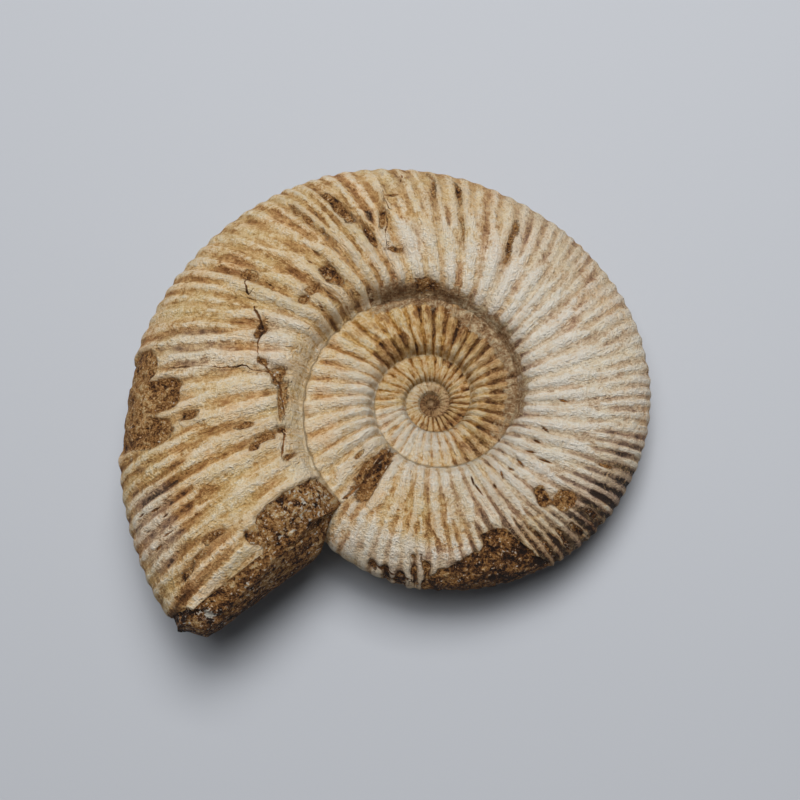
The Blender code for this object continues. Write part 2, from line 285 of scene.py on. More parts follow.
@dataclass(frozen=True)
class Ribs:
    """The ribs: where they stand, how they lean and fork, and how high they are."""

    spiral: Spiral
    crests: tuple[float, ...] = RIB_CRESTS
    crest_share: float = 0.38
    inner_spacing: float = math.radians(9.1)
    inner_gain: float = math.radians(0.9)
    height: float = 0.036
    inner_height_gain: float = 0.55
    lean_slope: float = math.radians(9.0)
    early_lean: float = 0.25
    late_lean: float = 0.15
    lean_start: float = math.radians(-120.0)
    lean_full: float = math.radians(-20.0)
    lean_fade: float = math.radians(190.0)
    lean_end: float = math.radians(222.0)
    shoulder: float = 0.12
    fork_share: float = 0.42
    fork_length: float = 0.2
    fork_scatter: float = 0.09
    forked_height: float = 0.6
    inner_fork_gain: float = 0.3
    late_fork: float = 1.2
    height_scatter: float = 0.16
    scatter_count: int = 512
    wander: float = 0.05
    fade_turns: tuple[float, float] = (4.4, 3.0)
    venter_from_share: float = 0.8
    venter_drop: float = 0.35
    calm_drop: float = 0.75
    inside_width: float = 0.4
    calm_start: float = math.radians(142.0)
    calm_full: float = math.radians(168.0)
    calm_share: float = 0.16
    seam_height: float = 0.08
    seed: int = 11

    def count(self, angle: Array) -> Array:
        """Ribs passed so far, whole at each crest.

        On the last whorl it runs evenly from crest to crest. Inside it the spacing
        grows with the square of the turns, which sums to an arc tangent.

        Args:
            angle: Angles along the coil.

        Returns:
            Counts with a fraction.
        """
        crests = np.radians(self.crests)
        last = np.clip(angle, crests[0], None)
        passed = np.interp(last, crests, np.arange(len(crests)))
        widening = math.sqrt(self.inner_gain / self.inner_spacing)
        scale = TURN / math.sqrt(self.inner_spacing * self.inner_gain)
        return passed - scale * np.arctan((last - angle) / TURN * widening)

    def lean(self, angle: Array, share: Array) -> Array:
        """Angle by which a rib runs ahead of where its crest is counted.

        It grows with the way past the shoulder, little at first and again near the mouth.

        Args:
            angle: Angles along the coil.
            share: Shares of the whorl's height.

        Returns:
            Angles in radians.
        """
        early = smoothstep(self.lean_start, self.lean_full, angle)
        late = smoothstep(self.lean_fade, self.lean_end, angle)
        slope = self.early_lean + (1.0 - self.early_lean) * early
        slope = slope * (1.0 - (1.0 - self.late_lean) * late)
        ahead = np.abs(share - self.shoulder) - (self.crest_share - self.shoulder)
        return self.lean_slope * slope * ahead

    def inside(self, angle: Array) -> Array:
        """1 on the inner whorls, easing to 0 where the last whorl begins."""
        begin = self.spiral.end - TURN
        return 1.0 - smoothstep(begin - self.inside_width, begin, angle)

    def wear(self, angle: Array) -> tuple[Array, Array]:
        """What is left of the ribs' height, and the power that gives their fullness.

        Args:
            angle: Angles along the coil.

        Returns:
            Shares of the height, and powers of the cosine.
        """
        places, heights, powers = np.array(RIB_WEAR).T
        degrees = np.degrees(angle)
        return np.interp(degrees, places, heights), np.interp(degrees, places, powers)

    def crest(self, angle: Array, share: Array, stray: Array) -> Array:
        """Relief of the ribs from 0 in a groove to 1 on a crest.

        Each rib is a raised cosine to a power. Past the fork a second crest rises
        beside the first, and both narrow until they stand half a spacing apart.

        Args:
            angle: Angles along the coil.
            share: Shares of the whorl's height.
            stray: Smooth noise that lets the ribs wander.

        Returns:
            Relief before any scale.
        """
        count = self.count(angle - self.lean(angle, share)) + self.wander * stray
        power = self.wear(angle)[1]
        rib = np.round(count)
        scatter = np.random.default_rng(self.seed).uniform(-1.0, 1.0, (2, self.scatter_count))
        along, across = scatter[:, rib.astype(int) % self.scatter_count]
        fork = self.fork_share + self.fork_scatter * along + self.inner_fork_gain * self.inside(angle)
        forked = smoothstep(0.0, 1.0, (share - fork) / self.fork_length)
        late = smoothstep(0.0, self.late_fork, (share - fork) / self.fork_length)
        part = 0.25 * forked
        width = 0.5 - part
        offset = (count - rib) * np.where(across > 0.0, 1.0, -1.0)
        height = (1.0 - forked) + self.forked_height * forked
        crests = []
        for way, strength in ((-1.0, 1.0), (1.0, late)):
            reach = np.clip(np.abs(offset - way * part) / width, 0.0, 1.0)
            crests.append(strength * (0.5 + 0.5 * np.cos(math.pi * reach)) ** power)
        return np.maximum(*crests) * height * (1.0 + self.height_scatter * across)

    def calm(self, angle: Array, share: Array) -> Array:
        """How much of the smooth band beside the last seam, where the ribs have died away.

        Args:
            angle: Angles along the coil.
            share: Shares of the whorl's height.

        Returns:
            Shares from 0 to 1.
        """
        late = smoothstep(self.calm_start, self.calm_full, angle)
        return late * (1.0 - smoothstep(self.calm_share - 0.1, self.calm_share + 0.06, share))

    def lift(self, angle: Array, share: Array, crest: Array) -> Array:
        """Height of the ribs: the crest's relief in proportion to the whorl's height.

        Args:
            angle: Angles along the coil.
            share: Shares of the whorl's height.
            crest: Relief from 0 in a groove to 1 on a crest.

        Returns:
            Heights in metres.
        """
        strength = self.seam_height + (1.0 - self.seam_height) * smoothstep(0.0, self.shoulder, share)
        start, full = (self.spiral.end - turns * TURN for turns in self.fade_turns)
        fading = smoothstep(start, full, angle)
        gain = 1.0 + self.inner_height_gain * self.inside(angle)
        scale = self.height * self.spiral.height(angle) * gain
        venter = 1.0 - self.venter_drop * smoothstep(self.venter_from_share, 1.0, share)
        calm = 1.0 - self.calm_drop * self.calm(angle, share)
        return scale * strength * calm * fading * venter * self.wear(angle)[0] * crest


@dataclass(frozen=True)
class Patch:
    """A rounded place where the shell is gone.

    Places on the shell are in degrees along the coil and in a share that runs on over
    the venter: 0 to 1 up the upper flank and 1 to 2 down the lower one.
    """

    angle: float
    share: float
    half_angle: float
    half_share: float
    skew: float = 0.0
    depth: float = 0.0007

    def reach(self, angle: Array, share: Array, radius: Array, height: Array) -> Array:
        """Distance inside the patch's edge, in metres, and negative outside it.

        It is 1 less a rounded-square distance from the middle, times the smaller half size.

        Args:
            angle: Angles along the coil, in degrees.
            share: Shares that run on over the venter.
            radius: Distance of each place from the axis.
            height: Whorl height at each place.

        Returns:
            Signed distances.
        """
        ahead = angle - self.angle - self.skew * (share - self.share)
        across = share - self.share
        distance = np.abs(ahead / self.half_angle) ** PATCH_POWER
        distance = distance + np.abs(across / self.half_share) ** PATCH_POWER
        unit = np.minimum(math.radians(self.half_angle) * radius, self.half_share * height)
        return (1.0 - distance ** (1.0 / PATCH_POWER)) * unit


@dataclass(frozen=True)
class Crack:
    """A crack along a broken line of (degrees along the coil, share) corners."""

    corners: tuple[tuple[float, float], ...]
    width: float = 0.00045

    def distance(self, angle: Array, share: Array, radius: Array, height: Array) -> Array:
        """Signed distance from the line, in metres: the nearest of its straight parts.

        Args:
            angle: Angles along the coil, in degrees.
            share: Shares that run on over the venter.
            radius: Distance of each place from the axis.
            height: Whorl height at each place.

        Returns:
            Distances, positive on the line's left.
        """
        best = np.full(angle.shape, 1.0)
        for (angle_1, share_1), (angle_2, share_2) in zip(self.corners, self.corners[1:]):
            x_1 = np.radians(angle_1 - angle) * radius
            y_1 = (share_1 - share) * height
            x_2 = np.radians(angle_2 - angle) * radius
            y_2 = (share_2 - share) * height
            x_way, y_way = x_2 - x_1, y_2 - y_1
            part = np.clip(-(x_1 * x_way + y_1 * y_way) / (x_way ** 2 + y_way ** 2), 0.0, 1.0)
            near = np.hypot(x_1 + part * x_way, y_1 + part * y_way)
            side = np.where(x_1 * y_2 - x_2 * y_1 >= 0.0, 1.0, -1.0)
            best = np.where(near < np.abs(best), side * near, best)
        return best


@dataclass(frozen=True)
class Tint:
    """A soft-edged place where the shell takes another tone."""

    angle: float
    share: float
    half_angle: float
    half_share: float
    strength: float = 1.0

    def weight(self, angle: Array, share: Array) -> Array:
        """Strength times a flat-topped bell in both directions.

        Args:
            angle: Angles along the coil, in degrees.
            share: Shares that run on over the venter.

        Returns:
            Strengths.
        """
        ahead = (angle - self.angle) / self.half_angle
        across = (share - self.share) / self.half_share
        return self.strength * np.exp(-(ahead ** 4 + across ** 4) * 0.7)


# Places where the shell is gone down to the brown stone.
PATCHES = (
    Patch(181.0, 0.76, 3.6, 0.13), Patch(180.5, 0.93, 9.5, 0.11), Patch(188.6, 0.84, 3.2, 0.16),
    Patch(175.2, 0.88, 3.4, 0.08), Patch(116.3, 0.66, 1.5, 0.12, 12.0),
    Patch(111.6, 0.41, 1.5, 0.1, 6.0), Patch(130.8, 0.24, 2.9, 0.09), Patch(138.6, 0.235, 3.2, 0.035),
    Patch(144.8, 0.235, 2.6, 0.03), Patch(161.4, 0.33, 2.6, 0.035), Patch(147.3, 0.56, 1.7, 0.05, 14.0),
    Patch(187.0, 0.585, 1.3, 0.045, 0.0, 0.0004), Patch(192.2, 0.3, 1.4, 0.055, 0.0, 0.0004),
    Patch(197.8, 0.2, 1.4, 0.05, 0.0, 0.0004), Patch(206.0, 0.11, 1.2, 0.04),
    Patch(175.8, 0.155, 3.2, 0.035), Patch(185.5, 0.112, 8.5, 0.024), Patch(196.0, 0.115, 1.8, 0.03),
    Patch(105.0, 0.28, 3.3, 0.022, 0.0, 0.0005), Patch(104.3, 0.56, 0.9, 0.1, -14.0),
    Patch(100.8, 0.7, 2.4, 0.02, 22.0), Patch(82.6, 0.79, 0.9, 0.1, 8.0, 0.0004),
    Patch(89.7, 0.74, 0.55, 0.12, 4.0, 0.0004), Patch(80.3, 0.52, 0.8, 0.07, 10.0, 0.0004),
    Patch(63.2, 0.58, 0.9, 0.14, 8.0, 0.0004), Patch(125.0, 0.62, 0.8, 0.16, 9.0, 0.0004),
    Patch(-125.2, 0.3, 4.0, 0.29, 3.0, 0.0010), Patch(-126.6, 0.05, 2.3, 0.1, 0.0, 0.0012),
    Patch(-54.2, 0.86, 0.8, 0.13, 8.0), Patch(-48.5, 0.9, 0.8, 0.12, 8.0),
    Patch(-43.0, 0.93, 0.8, 0.1, 8.0), Patch(-37.4, 0.93, 0.8, 0.1, 8.0),
    Patch(199.8, 0.27, 1.3, 0.03, 6.0, 0.0004), Patch(215.0, 0.6, 0.8, 0.07, 4.0, 0.0004),
    Patch(216.4, 0.71, 0.7, 0.05, 4.0, 0.0004), Patch(217.6, 0.8, 0.6, 0.04, 4.0, 0.0004),
    Patch(220.6, 0.455, 2.6, 0.036, -40.0, 0.0006), Patch(-45.3, 0.58, 2.3, 0.085, -14.0),
    Patch(-43.4, 0.64, 2.8, 0.045, 20.0, 0.0004), Patch(-40.5, 0.68, 4.6, 0.085, 14.0, 0.0003),
    Patch(-23.2, 0.75, 0.8, 0.07, 14.0), Patch(-96.6, 0.87, 1.1, 0.1, 12.0),
    Patch(-92.4, 0.89, 1.1, 0.09, 20.0), Patch(-100.0, 0.955, 1.5, 0.05, 10.0),
    Patch(-104.6, 0.96, 1.2, 0.04, 10.0), Patch(-109.6, 0.94, 1.5, 0.035, 10.0),
    Patch(-138.6, 0.27, 0.8, 0.05), Patch(171.6, 0.25, 1.6, 0.035),
    Patch(-131.0, 0.22, 2.2, 0.3, 0.0, 0.0008), Patch(93.0, 0.07, 6.0, 0.03, 0.0, 0.0004),
)
# Small dark slits beside the ribs, as (angle in degrees, share).
PITS = (
    (-65.9, 0.27), (-66.8, 0.19), (-57.6, 0.29), (-51.3, 0.245), (-45.8, 0.245), (-40.0, 0.25),
    (-32.5, 0.26), (-32.6, 0.38), (-26.3, 0.25), (-19.2, 0.26), (-4.2, 0.33), (97.6, 0.84),
    (129.5, 0.42), (133.0, 0.39), (146.6, 0.43), (143.0, 0.13), (204.0, 0.82), (207.0, 0.88),
    (209.3, 0.8), (206.0, 0.77), (210.4, 0.87), (203.4, 0.9),
)
# What each tone covers.
TINTS: dict[Tone, tuple[Tint, ...]] = {
    Tone.CHALK: (
        Tint(207.0, 0.85, 7.0, 0.12, 0.9), Tint(-8.0, 0.45, 42.0, 0.6, 1.0),
        Tint(42.0, 0.5, 34.0, 0.6, 0.8), Tint(-96.0, 0.84, 26.0, 0.17, 1.0),
        Tint(-60.0, 0.4, 26.0, 0.26, 0.75), Tint(97.5, 0.36, 5.0, 0.14, 0.9),
        Tint(-90.0, 0.12, 34.0, 0.12, 0.5), Tint(165.0, 0.24, 12.0, 0.1, 0.7),
        Tint(80.0, 0.5, 22.0, 0.5, 0.35), Tint(171.0, 0.62, 6.0, 0.25, 0.5),
        Tint(-172.0, 0.3, 34.0, 0.4, 0.5), Tint(-470.0, 0.22, 40.0, 0.3, 0.6),
        Tint(-515.0, 0.3, 14.0, 0.4, 0.8),
    ),
    # Dark stone and stain; the tints along the lower venter (-104 to -40 degrees) and on the top wall (92
    # degrees) are partly painted shade, where those faces turn from the light.
    Tone.DARK: (
        Tint(-72.0, 0.95, 22.0, 0.42, 0.75), Tint(-45.5, 0.58, 2.6, 0.1, 0.5),
        Tint(130.8, 0.24, 3.5, 0.12, 0.5), Tint(-126.0, 0.1, 3.0, 0.2, 0.4),
        Tint(115.0, 0.55, 6.0, 0.4, 0.35), Tint(226.0, 1.04, 8.0, 0.22, 1.3),
        Tint(-104.0, 0.95, 12.0, 0.1, 0.8), Tint(-40.0, 1.0, 24.0, 0.2, 1.0),
        Tint(92.0, 0.0, 24.0, 0.1, 0.4), Tint(-1420.0, 0.3, 280.0, 0.9, 1.2),
    ),
    Tone.OCHRE: (
        Tint(188.0, 0.4, 14.0, 0.2, 0.6), Tint(170.0, 0.05, 42.0, 0.1, 0.9),
        Tint(-335.0, 0.0, 70.0, 0.09, 1.2), Tint(-87.0, 0.42, 32.0, 0.22, 1.1),
        Tint(-112.0, 0.4, 7.0, 0.2, 0.6), Tint(145.0, 0.55, 42.0, 0.6, 0.75),
        Tint(203.0, 0.62, 20.0, 0.5, 1.0), Tint(98.0, 0.72, 16.0, 0.4, 0.7),
        Tint(60.0, 0.75, 22.0, 0.25, 0.4), Tint(-262.0, 0.32, 58.0, 0.5, 1.25),
        Tint(-185.0, 0.5, 55.0, 0.25, 0.8), Tint(-445.0, 0.46, 22.0, 0.14, 0.8),
        Tint(-640.0, 0.3, 130.0, 0.6, 1.2), Tint(-800.0, 0.3, 110.0, 0.6, 1.0),
        Tint(-370.0, 0.2, 60.0, 0.3, 0.8),
    ),
    # Stains; the tints on the walls by the seam (20 and 132 degrees) and along the lower venter (-75 and
    # -42 degrees) are partly painted shade, where those faces turn from the light.
    Tone.STAIN: (
        Tint(20.0, 0.0, 52.0, 0.11, 0.9), Tint(132.0, 0.02, 26.0, 0.1, 0.7),
        Tint(-232.0, 0.15, 17.0, 0.1, 1.3), Tint(-262.0, 0.3, 45.0, 0.5, 0.4),
        Tint(-40.0, 0.1, 22.0, 0.05, 0.7), Tint(-42.0, 0.92, 30.0, 0.36, 0.9),
        Tint(-75.0, 0.92, 16.0, 0.12, 0.4), Tint(128.0, 0.3, 12.0, 0.2, 0.3),
        Tint(115.0, 0.6, 10.0, 0.25, 0.3), Tint(-366.0, 0.52, 60.0, 0.27, 1.5),
        Tint(-300.0, 0.42, 42.0, 0.3, 0.85), Tint(-34.0, 0.76, 14.0, 0.16, 0.7),
        Tint(-5.0, 0.9, 16.0, 0.14, 0.35), Tint(-765.0, 0.3, 70.0, 0.6, 0.75),
        Tint(-1330.0, 0.3, 340.0, 0.9, 1.5), Tint(205.0, 0.8, 14.0, 0.2, 0.4),
        Tint(170.0, 0.75, 7.0, 0.12, 0.35), Tint(-672.0, 0.5, 40.0, 0.12, 0.8),
    ),
    # Sandy wear; the tint at -98 degrees is painted shade, on the chalk of the lower venter that faces from
    # the light.
    Tone.SAND: (
        Tint(-98.0, 0.92, 24.0, 0.16, 1.0), Tint(56.0, 0.85, 46.0, 0.3, 1.0),
        Tint(-5.0, 0.9, 20.0, 0.2, 0.5), Tint(148.0, 0.8, 40.0, 0.3, 0.35),
    ),
    Tone.EARTH: (
        Tint(25.0, 0.0, 56.0, 0.075, 1.0), Tint(94.0, 0.0, 26.0, 0.1, 1.2),
        Tint(-335.0, 0.62, 62.0, 0.18, 1.0), Tint(-262.0, 0.62, 28.0, 0.09, 1.0),
    ),
}
CRACKS = (
    Crack(((149.5, 0.56), (151.3, 0.51), (155.0, 0.43), (158.3, 0.345), (160.8, 0.31), (165.4, 0.31),
           (170.0, 0.285), (173.3, 0.215), (176.7, 0.155), (180.8, 0.115), (190.0, 0.09),
           (195.4, 0.095), (204.0, 0.14)), 0.00045),
    Crack(((174.6, 0.1), (174.0, 0.4), (174.9, 0.72)), 0.00022),
    Crack(((103.5, 0.66), (103.2, 0.57), (104.4, 0.49), (106.3, 0.36), (107.4, 0.26)), 0.0003),
    Crack(((-129.0, 0.62), (-127.6, 0.42), (-128.6, 0.2), (-127.0, 0.02)), 0.0007),
    Crack(((-109.8, 0.94), (-104.5, 0.95), (-98.0, 0.955)), 0.0005),
    Crack(((-95.5, 0.97), (-96.6, 0.88), (-98.0, 0.78)), 0.0007),
    Crack(((-91.0, 0.97), (-92.0, 0.9), (-94.0, 0.82)), 0.0007),
)
# Lower edge, as (angle in degrees, share), of the shell lost along the venter.
VENTER_LOSS = (
    (-97.0, 1.3), (-93.0, 0.93), (-88.0, 0.86), (-80.0, 0.78), (-73.0, 0.7), (-72.3, 0.61),
    (-67.0, 0.6), (-62.5, 0.6), (-61.0, 0.74), (-59.0, 0.86), (-56.0, 0.95), (-52.0, 1.1),
    (-48.0, 1.3),
)
# Where the shell ends before the mouth, as (share, angle in degrees).
SHELL_END = (
    (0.0, 216.5), (0.38, 217.3), (0.41, 221.0), (0.44, 225.4), (0.82, 225.6), (0.88, 222.0),
    (1.0, 219.6), (1.15, 218.6), (1.3, 218.5), (1.5, 222.0), (1.7, 221.0), (2.0, 217.0),
)


@dataclass(frozen=True)
class Surface:
    """Finished relief, stains and painted shade of the shell, on top of its smooth form."""

    spiral: Spiral
    ribs: Ribs
    noise: Noise = Noise(5)
    full_height: float = 0.04
    warp: float = 0.0009
    warp_size: float = 0.0042
    edge: float = 0.00028
    mouth_depth: float = 0.0008
    mouth_round: float = 0.0021
    mouth_round_width: float = 0.0055
    mouth_swell: float = 0.0054
    swell_start: float = math.radians(219.0)
    swell_full: float = math.radians(227.0)
    venter_loss_end: float = 1.32
    venter_depth: float = 0.0006
    slit_size: float = 0.00027
    slit_lengths: tuple[float, float] = (0.0007, 0.0018)
    pit_depth: float = 0.0005
    earth_level: float = 0.0005
    seam_ridge: float = 0.0005

    def smooth(self, angle: Array, share: Array) -> tuple[Array, Array, Array, Array]:
        """Smooth surface for shares that run on over the venter.

        Args:
            angle: Angles along the coil.
            share: Shares from 0 to 2.

        Returns:
            Radius, level, and the normal's radial and vertical parts.
        """
        radius, level, outward, upward = self.spiral.frame_at(angle, fold(share))
        sign = np.where(share <= 1.0, 1.0, -1.0)
        return radius, sign * level, outward, sign * upward

    def losses(self, angle: Array, share: Array, place: Array) -> tuple[Array, Array]:
        """How far inside a place of lost shell each point is, and how deep it goes.

        The edges of the patches are roughened: each point first moves a little by noise.

        Args:
            angle: Angles along the coil.
            share: Shares from 0 to 2.
            place: Points of the smooth surface.

        Returns:
            Signed distance inside the edge and depth, in metres.
        """
        spiral = self.spiral
        height = spiral.height(angle)
        radius = spiral.seam(angle) + fold(share) * height
        ahead = self.warp * self.noise.cloud(place, self.warp_size, 3)
        across = self.warp * self.noise.cloud(place + 0.05, self.warp_size, 3)
        degrees = np.degrees(angle + ahead / radius)
        warped = share + across / height
        best = np.full(angle.shape, -0.01)
        depth = np.zeros(angle.shape)
        pieces = [(patch.reach(degrees, warped, radius, height), patch.depth) for patch in PATCHES]
        line = np.array(VENTER_LOSS)
        edge = np.interp(degrees, line[:, 0], line[:, 1])
        along = np.minimum(degrees - line[0, 0], line[-1, 0] - degrees)
        under = self.venter_loss_end + 0.1 * np.sin(degrees / 9.0) - warped
        inside = np.minimum(np.minimum(warped - edge, under) * height, np.radians(along) * radius)
        pieces.append((inside, self.venter_depth))
        line = np.array(SHELL_END)
        end = np.interp(warped, line[:, 0], line[:, 1])
        pieces.append((np.radians(degrees - end) * radius, self.mouth_depth))
        ragged = 0.0005 * self.noise.cloud(place, 0.0024, 2) + 0.0003 * self.noise.cloud(place, 0.0011, 2)
        for reach, deep in pieces:
            reach = reach + ragged
            depth = np.maximum(depth, deep * smoothstep(-self.edge, self.edge, reach))
            best = np.maximum(best, reach)
        return best, depth

    def fissures(self, angle: Array, share: Array, place: Array) -> tuple[Array, Array, Array]:
        """Cracks, along lines made crooked by noise.

        Args:
            angle: Angles along the coil.
            share: Shares from 0 to 2.
            place: Points of the smooth surface.

        Returns:
            Signed distance from the nearest crack over its half width, 1 near it and 0
            away from it, and the depth it cuts.
        """
        height = self.spiral.height(angle)
        radius = self.spiral.seam(angle) + fold(share) * height
        crooked = angle + 0.0007 * self.noise.cloud(place + 0.03, 0.0022, 2) / radius
        nearest = np.full(angle.shape, NO_CRACK)
        near = np.zeros(angle.shape)
        depth = np.zeros(angle.shape)
        for crack in CRACKS:
            off = crack.distance(np.degrees(crooked), share, radius, height)
            uneven = np.clip(0.75 + 1.5 * self.noise.cloud(place + 0.07, 0.0032, 2), 0.12, 1.9)
            scaled = off / (0.5 * crack.width * uneven)
            nearest = np.where(np.abs(scaled) < np.abs(nearest), scaled, nearest)
            near = np.maximum(near, 1.0 - smoothstep(0.0007, 0.0013, np.abs(off)))
            cut = 0.45 * crack.width * np.minimum(uneven, 1.2)
            depth = np.maximum(depth, cut * (1.0 - smoothstep(0.0001, 0.0010, np.abs(off))))
        return nearest, near, depth

    def pits(self, angle: Array, share: Array) -> Array:
        """Depth of the small slits: a bell round each, long along the rib.

        Args:
            angle: Angles along the coil.
            share: Shares from 0 to 2.

        Returns:
            Depths in metres.
        """
        height = self.spiral.height(angle)
        radius = self.spiral.seam(angle) + np.clip(share, 0.0, 1.0) * height
        random = np.random.default_rng(self.noise.seed)
        total = np.zeros(angle.shape)
        for pit_angle, pit_share in PITS:
            length = random.uniform(*self.slit_lengths)
            turn = random.uniform(-0.35, 0.35)
            ahead = (angle - math.radians(pit_angle)) * radius
            across = (share - pit_share) * height
            ahead = ahead - turn * across
            off = ahead ** 2 / self.slit_size ** 2 + across ** 2 / length ** 2
            total = np.maximum(total, np.exp(-off))
        return self.pit_depth * total

    def mouth_form(self, angle: Array, share: Array, radius: Array) -> Array:
        """Lift of the stone at the break: its edge is rounded off, and it swells at the venter.

        The rounding is a squared smooth step of the way left to the break.

        Args:
            angle: Angles along the coil.
            share: Shares of the whorl's height.
            radius: Distance of each place from the axis.

        Returns:
            Lifts in metres.
        """
        left = (self.spiral.mouth_angle(share) - angle) * radius
        rounded = -self.mouth_round * (1.0 - smoothstep(0.0, self.mouth_round_width, left)) ** 2
        late = smoothstep(self.swell_start, self.swell_full, angle)
        return rounded + self.mouth_swell * late * smoothstep(0.78, 0.96, share)

    def shape(self, angle: Array, share: Array, seam: float) -> tuple[Array, dict[str, Array]]:
        """Points of the finished surface and the values that its finish is made from.

        Each point is the smooth one moved along its normal by ribs and unevenness,
        less what is lost to chips, cracks and pits.

        Args:
            angle: Angles along the coil.
            share: Shares from 0 to 2.
            seam: 1 for points of a seam, which stands up as a thin ridge, and else 0.

        Returns:
            Points in the coil's own frame, and named values for each.
        """
        radius, level, outward, upward = self.smooth(angle, share)
        across, along = np.cos(angle), np.sin(angle)
        place = np.stack((radius * across, radius * along, level), axis=-1)
        folded = fold(share)
        stray = self.noise.cloud(place, 0.011, 3)
        crest = self.ribs.crest(angle, folded, stray)
        reach, lost = self.losses(angle, share, place)
        crack, near, split = self.fissures(angle, share, place)
        pit = self.pits(angle, share)
        scale = np.sqrt(self.spiral.height(angle) / self.full_height)
        bare = smoothstep(-self.edge, 2.0 * self.edge, reach)
        rough = 0.00022 * self.noise.cloud(place, 0.006, 2) + 0.00016 * self.noise.cloud(place, 0.0015, 2)
        broken = 0.00045 * self.noise.cloud(place + 0.02, 0.0019, 2)
        wear = 1.0 + 0.42 * self.noise.cloud(place, 0.005, 3)
        tones = {tone: self.tone(tone, angle, share) for tone in Tone}
        worn = (1.0 - 0.3 * bare) * (1.0 - 0.4 * tones[Tone.SAND] * (1.0 - smoothstep(0.9, 1.0, folded)))
        soil = tones[Tone.EARTH] + 0.35 * self.noise.cloud(place + 0.04, 0.004, 2) - 0.12 * crest
        earth = smoothstep(0.35, 0.75, soil)
        lift = self.ribs.lift(angle, folded, crest) * wear * worn * (1.0 - 0.6 * earth)
        lift = lift + self.mouth_form(angle, folded, radius)
        crumbs = self.earth_level + 0.0005 * self.noise.cloud(place + 0.06, 0.0022, 3)
        crumbs = crumbs * smoothstep(0.0, 0.07, folded)
        ridge = seam * self.seam_ridge * (1.0 - earth)
        lift = lift + scale * (rough + earth * crumbs + ridge) + bare * broken
        lift = lift - (lost + split + pit) * np.clip(scale, 0.35, 1.0)
        radius = radius + lift * outward
        level = level + lift * upward
        points = np.stack((radius * across, radius * along, level), axis=-1)
        calm = self.ribs.calm(angle, folded)
        deep = 1.0 - smoothstep(self.spiral.end - 3.9 * TURN, self.spiral.end - 2.7 * TURN, angle)
        mouth = smoothstep(math.radians(208.0), math.radians(224.0), angle)
        mouth = mouth * (1.0 - 0.6 * smoothstep(0.25, 0.5, folded))
        values = {
            "bare": reach * 1000.0, "crack": crack, "near": near, "rib": crest + (0.62 - crest) * calm,
            "pit": pit / self.pit_depth, "inner": self.ribs.inside(angle), "deep": deep, "mouth": mouth,
            "count": self.ribs.count(angle - self.ribs.lean(angle, folded)), "share": share,
            "spot": np.zeros(angle.shape)}
        values.update({tone.value: total for tone, total in tones.items()})
        values["earth"] = soil
        return points, values

    def tone(self, tone: Tone, angle: Array, share: Array) -> Array:
        """Strength of one tone: the largest of its tints.

        Args:
            tone: Which tone.
            angle: Angles along the coil.
            share: Shares from 0 to 2.

        Returns:
            Strengths.
        """
        return np.max([tint.weight(np.degrees(angle), share) for tint in TINTS[tone]], axis=0)


@dataclass(frozen=True)
class Lay:
    """How the coil lies: leant over, with its middle at a height above the floor."""

    lean: float = math.radians(4.5)
    lean_towards: float = math.radians(26.0)
    centre: tuple[float, float, float] = (0.00928133, -0.00311306, 0.01284701)

    @property
    def turn(self) -> Matrix:
        """Turn about the level axis square to the way it leans."""
        axis = Vector((-math.sin(self.lean_towards), math.cos(self.lean_towards), 0.0))
        return Matrix.Rotation(self.lean, 4, axis)

    @property
    def matrix(self) -> Matrix:
        """From the coil's own frame to the floor's."""
        return Matrix.Translation(self.centre) @ self.turn

    def place(self, points: Array) -> Array:
        """Place points on the floor; what sinks into it is worn flat.

        Args:
            points: Points of the coil's own frame.

        Returns:
            Points of the floor's frame.
        """
        matrix = np.array(self.matrix)
        placed = points @ matrix[:3, :3].T + matrix[:3, 3]
        placed[:, 2] = np.maximum(placed[:, 2], 0.0)
        return placed


